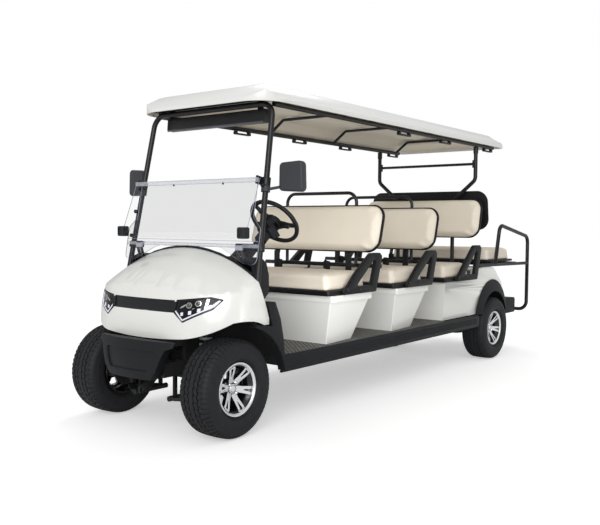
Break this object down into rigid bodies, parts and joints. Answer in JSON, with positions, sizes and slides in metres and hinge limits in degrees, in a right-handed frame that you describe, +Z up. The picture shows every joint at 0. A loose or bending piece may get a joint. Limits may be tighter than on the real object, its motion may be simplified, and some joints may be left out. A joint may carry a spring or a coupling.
{
  "type": "eight-seat golf cart",
  "caption": "Open electric golf cart with a long roof, three forward bench seats, a rear-facing flip seat, steered front wheels and a folding windscreen.",
  "frame": {"origin": "on the floor, in the middle of the cart's length and width", "axes": "-Y is the front of the cart, +X its left side, +Z up"},
  "size_m": [1.4048, 4.308, 1.9138],
  "materials": {
    "body_gel": "gloss",
    "roof_gel": "gloss",
    "tube_black": "semi-gloss",
    "frame_black": "satin",
    "trim_plastic": "grained",
    "floor_mat": "ribbed",
    "seat_vinyl": "soft grain",
    "screen_acrylic": "clear",
    "lamp_lens": "clear",
    "tail_lens": "gloss",
    "alloy": "machined",
    "tyre_rubber": "matte",
    "battery_case": "matte"
  },
  "bodies": {
    "cart": {"chassis_frame": "frame_black", "front_suspension": "frame_black", "rear_axle": "frame_black", "leaf_springs": "frame_black", "battery_pack": "battery_case", "front_cowl": "body_gel", "front_lamps": "lamp_lens", "front_bumper": "trim_plastic", "side_trims": "trim_plastic", "dashboard": "trim_plastic", "windscreen": "screen_acrylic", "windscreen_clamps": "trim_plastic", "mirrors": "trim_plastic", "front_strut": "tube_black", "rear_strut": "tube_black", "roof_frame": "tube_black", "roof_panel": "roof_gel", "overhead_bar": "trim_plastic", "steering_column": "trim_plastic", "pedals": "frame_black", "floor_panel": "floor_mat", "rockers": "trim_plastic", "seat_pods": "body_gel", "rear_body": "body_gel", "rear_flares": "trim_plastic", "tail_lamps": "tail_lens", "seat_back_pads": "seat_vinyl", "seat_back_shells": "trim_plastic", "seat_back_frames": "tube_black", "armrests": "trim_plastic", "rear_rail_frame": "tube_black", "footplate": "trim_plastic"},
    "knuckle_left": {"knuckle_left": "frame_black"},
    "knuckle_right": {"knuckle_right": "frame_black"},
    "rack": {"steering_rack": "frame_black"},
    "steering_wheel": {"steering_wheel": "trim_plastic"},
    "rear_seat": {"rear_seat_board": "trim_plastic", "rear_seat_cushion": "seat_vinyl"},
    "seat_lid_1": {"seat_base_1": "trim_plastic", "seat_cushion_1": "seat_vinyl"},
    "seat_lid_2": {"seat_base_2": "trim_plastic", "seat_cushion_2": "seat_vinyl"},
    "seat_lid_3": {"seat_base_3": "trim_plastic", "seat_cushion_3": "seat_vinyl"},
    "wheel_front_left": {"tyre_front_left": "tyre_rubber", "rim_front_left": "alloy"},
    "wheel_front_right": {"tyre_front_right": "tyre_rubber", "rim_front_right": "alloy"},
    "wheel_rear_left": {"tyre_rear_left": "tyre_rubber", "rim_rear_left": "alloy"},
    "wheel_rear_right": {"tyre_rear_right": "tyre_rubber", "rim_rear_right": "alloy"}
  },
  "joints": [
    {"name": "steer_left", "type": "hinge", "parent": "cart", "child": "knuckle_left", "pos_m": [0.3, -1.8615, 0.26], "axis": [0, 0, 1], "range_deg": [-30, 30]},
    {"name": "steer_right", "type": "hinge", "parent": "cart", "child": "knuckle_right", "pos_m": [-0.3, -1.8615, 0.26], "axis": [0, 0, 1], "range_deg": [-30, 30]},
    {"name": "rack_slide", "type": "slide", "parent": "cart", "child": "rack", "axis": [1, 0, 0], "range_m": [-0.054, 0.054]},
    {"name": "steering_wheel_turn", "type": "hinge", "parent": "cart", "child": "steering_wheel", "pos_m": [0.29, -1.2795, 1.136], "axis": [0, 0.7547, 0.6561], "range_deg": [-361, 361]},
    {"name": "spin_front_left", "type": "hinge", "parent": "knuckle_left", "child": "wheel_front_left", "pos_m": [0.448, -1.8615, 0.26], "axis": [1, 0, 0], "continuous": true},
    {"name": "spin_front_right", "type": "hinge", "parent": "knuckle_right", "child": "wheel_front_right", "pos_m": [-0.448, -1.8615, 0.26], "axis": [1, 0, 0], "continuous": true},
    {"name": "spin_rear_left", "type": "hinge", "parent": "cart", "child": "wheel_rear_left", "pos_m": [0.47, 1.3335, 0.26], "axis": [1, 0, 0], "continuous": true},
    {"name": "spin_rear_right", "type": "hinge", "parent": "cart", "child": "wheel_rear_right", "pos_m": [-0.47, 1.3335, 0.26], "axis": [1, 0, 0], "continuous": true},
    {"name": "seat_lid_1", "type": "hinge", "parent": "cart", "child": "seat_lid_1", "pos_m": [0, -1.0705, 0.69], "axis": [1, 0, 0], "range_deg": [0, 60]},
    {"name": "seat_lid_2", "type": "hinge", "parent": "cart", "child": "seat_lid_2", "pos_m": [0, -0.3075, 0.69], "axis": [1, 0, 0], "range_deg": [0, 60]},
    {"name": "seat_lid_3", "type": "hinge", "parent": "cart", "child": "seat_lid_3", "pos_m": [0, 0.4555, 0.69], "axis": [1, 0, 0], "range_deg": [0, 60]},
    {"name": "rear_seat_flip", "type": "hinge", "parent": "cart", "child": "rear_seat", "pos_m": [0, 1.8635, 0.79], "axis": [-1, 0, 0], "range_deg": [0, 180]}
  ],
  "couplings": [
    {"joint": "steer_right", "follows": "steer_left", "ratio": 1},
    {"joint": "rack_slide", "follows": "steer_left", "m_per_rad": -0.1},
    {"joint": "steering_wheel_turn", "follows": "steer_left", "ratio": 12}
  ]
}
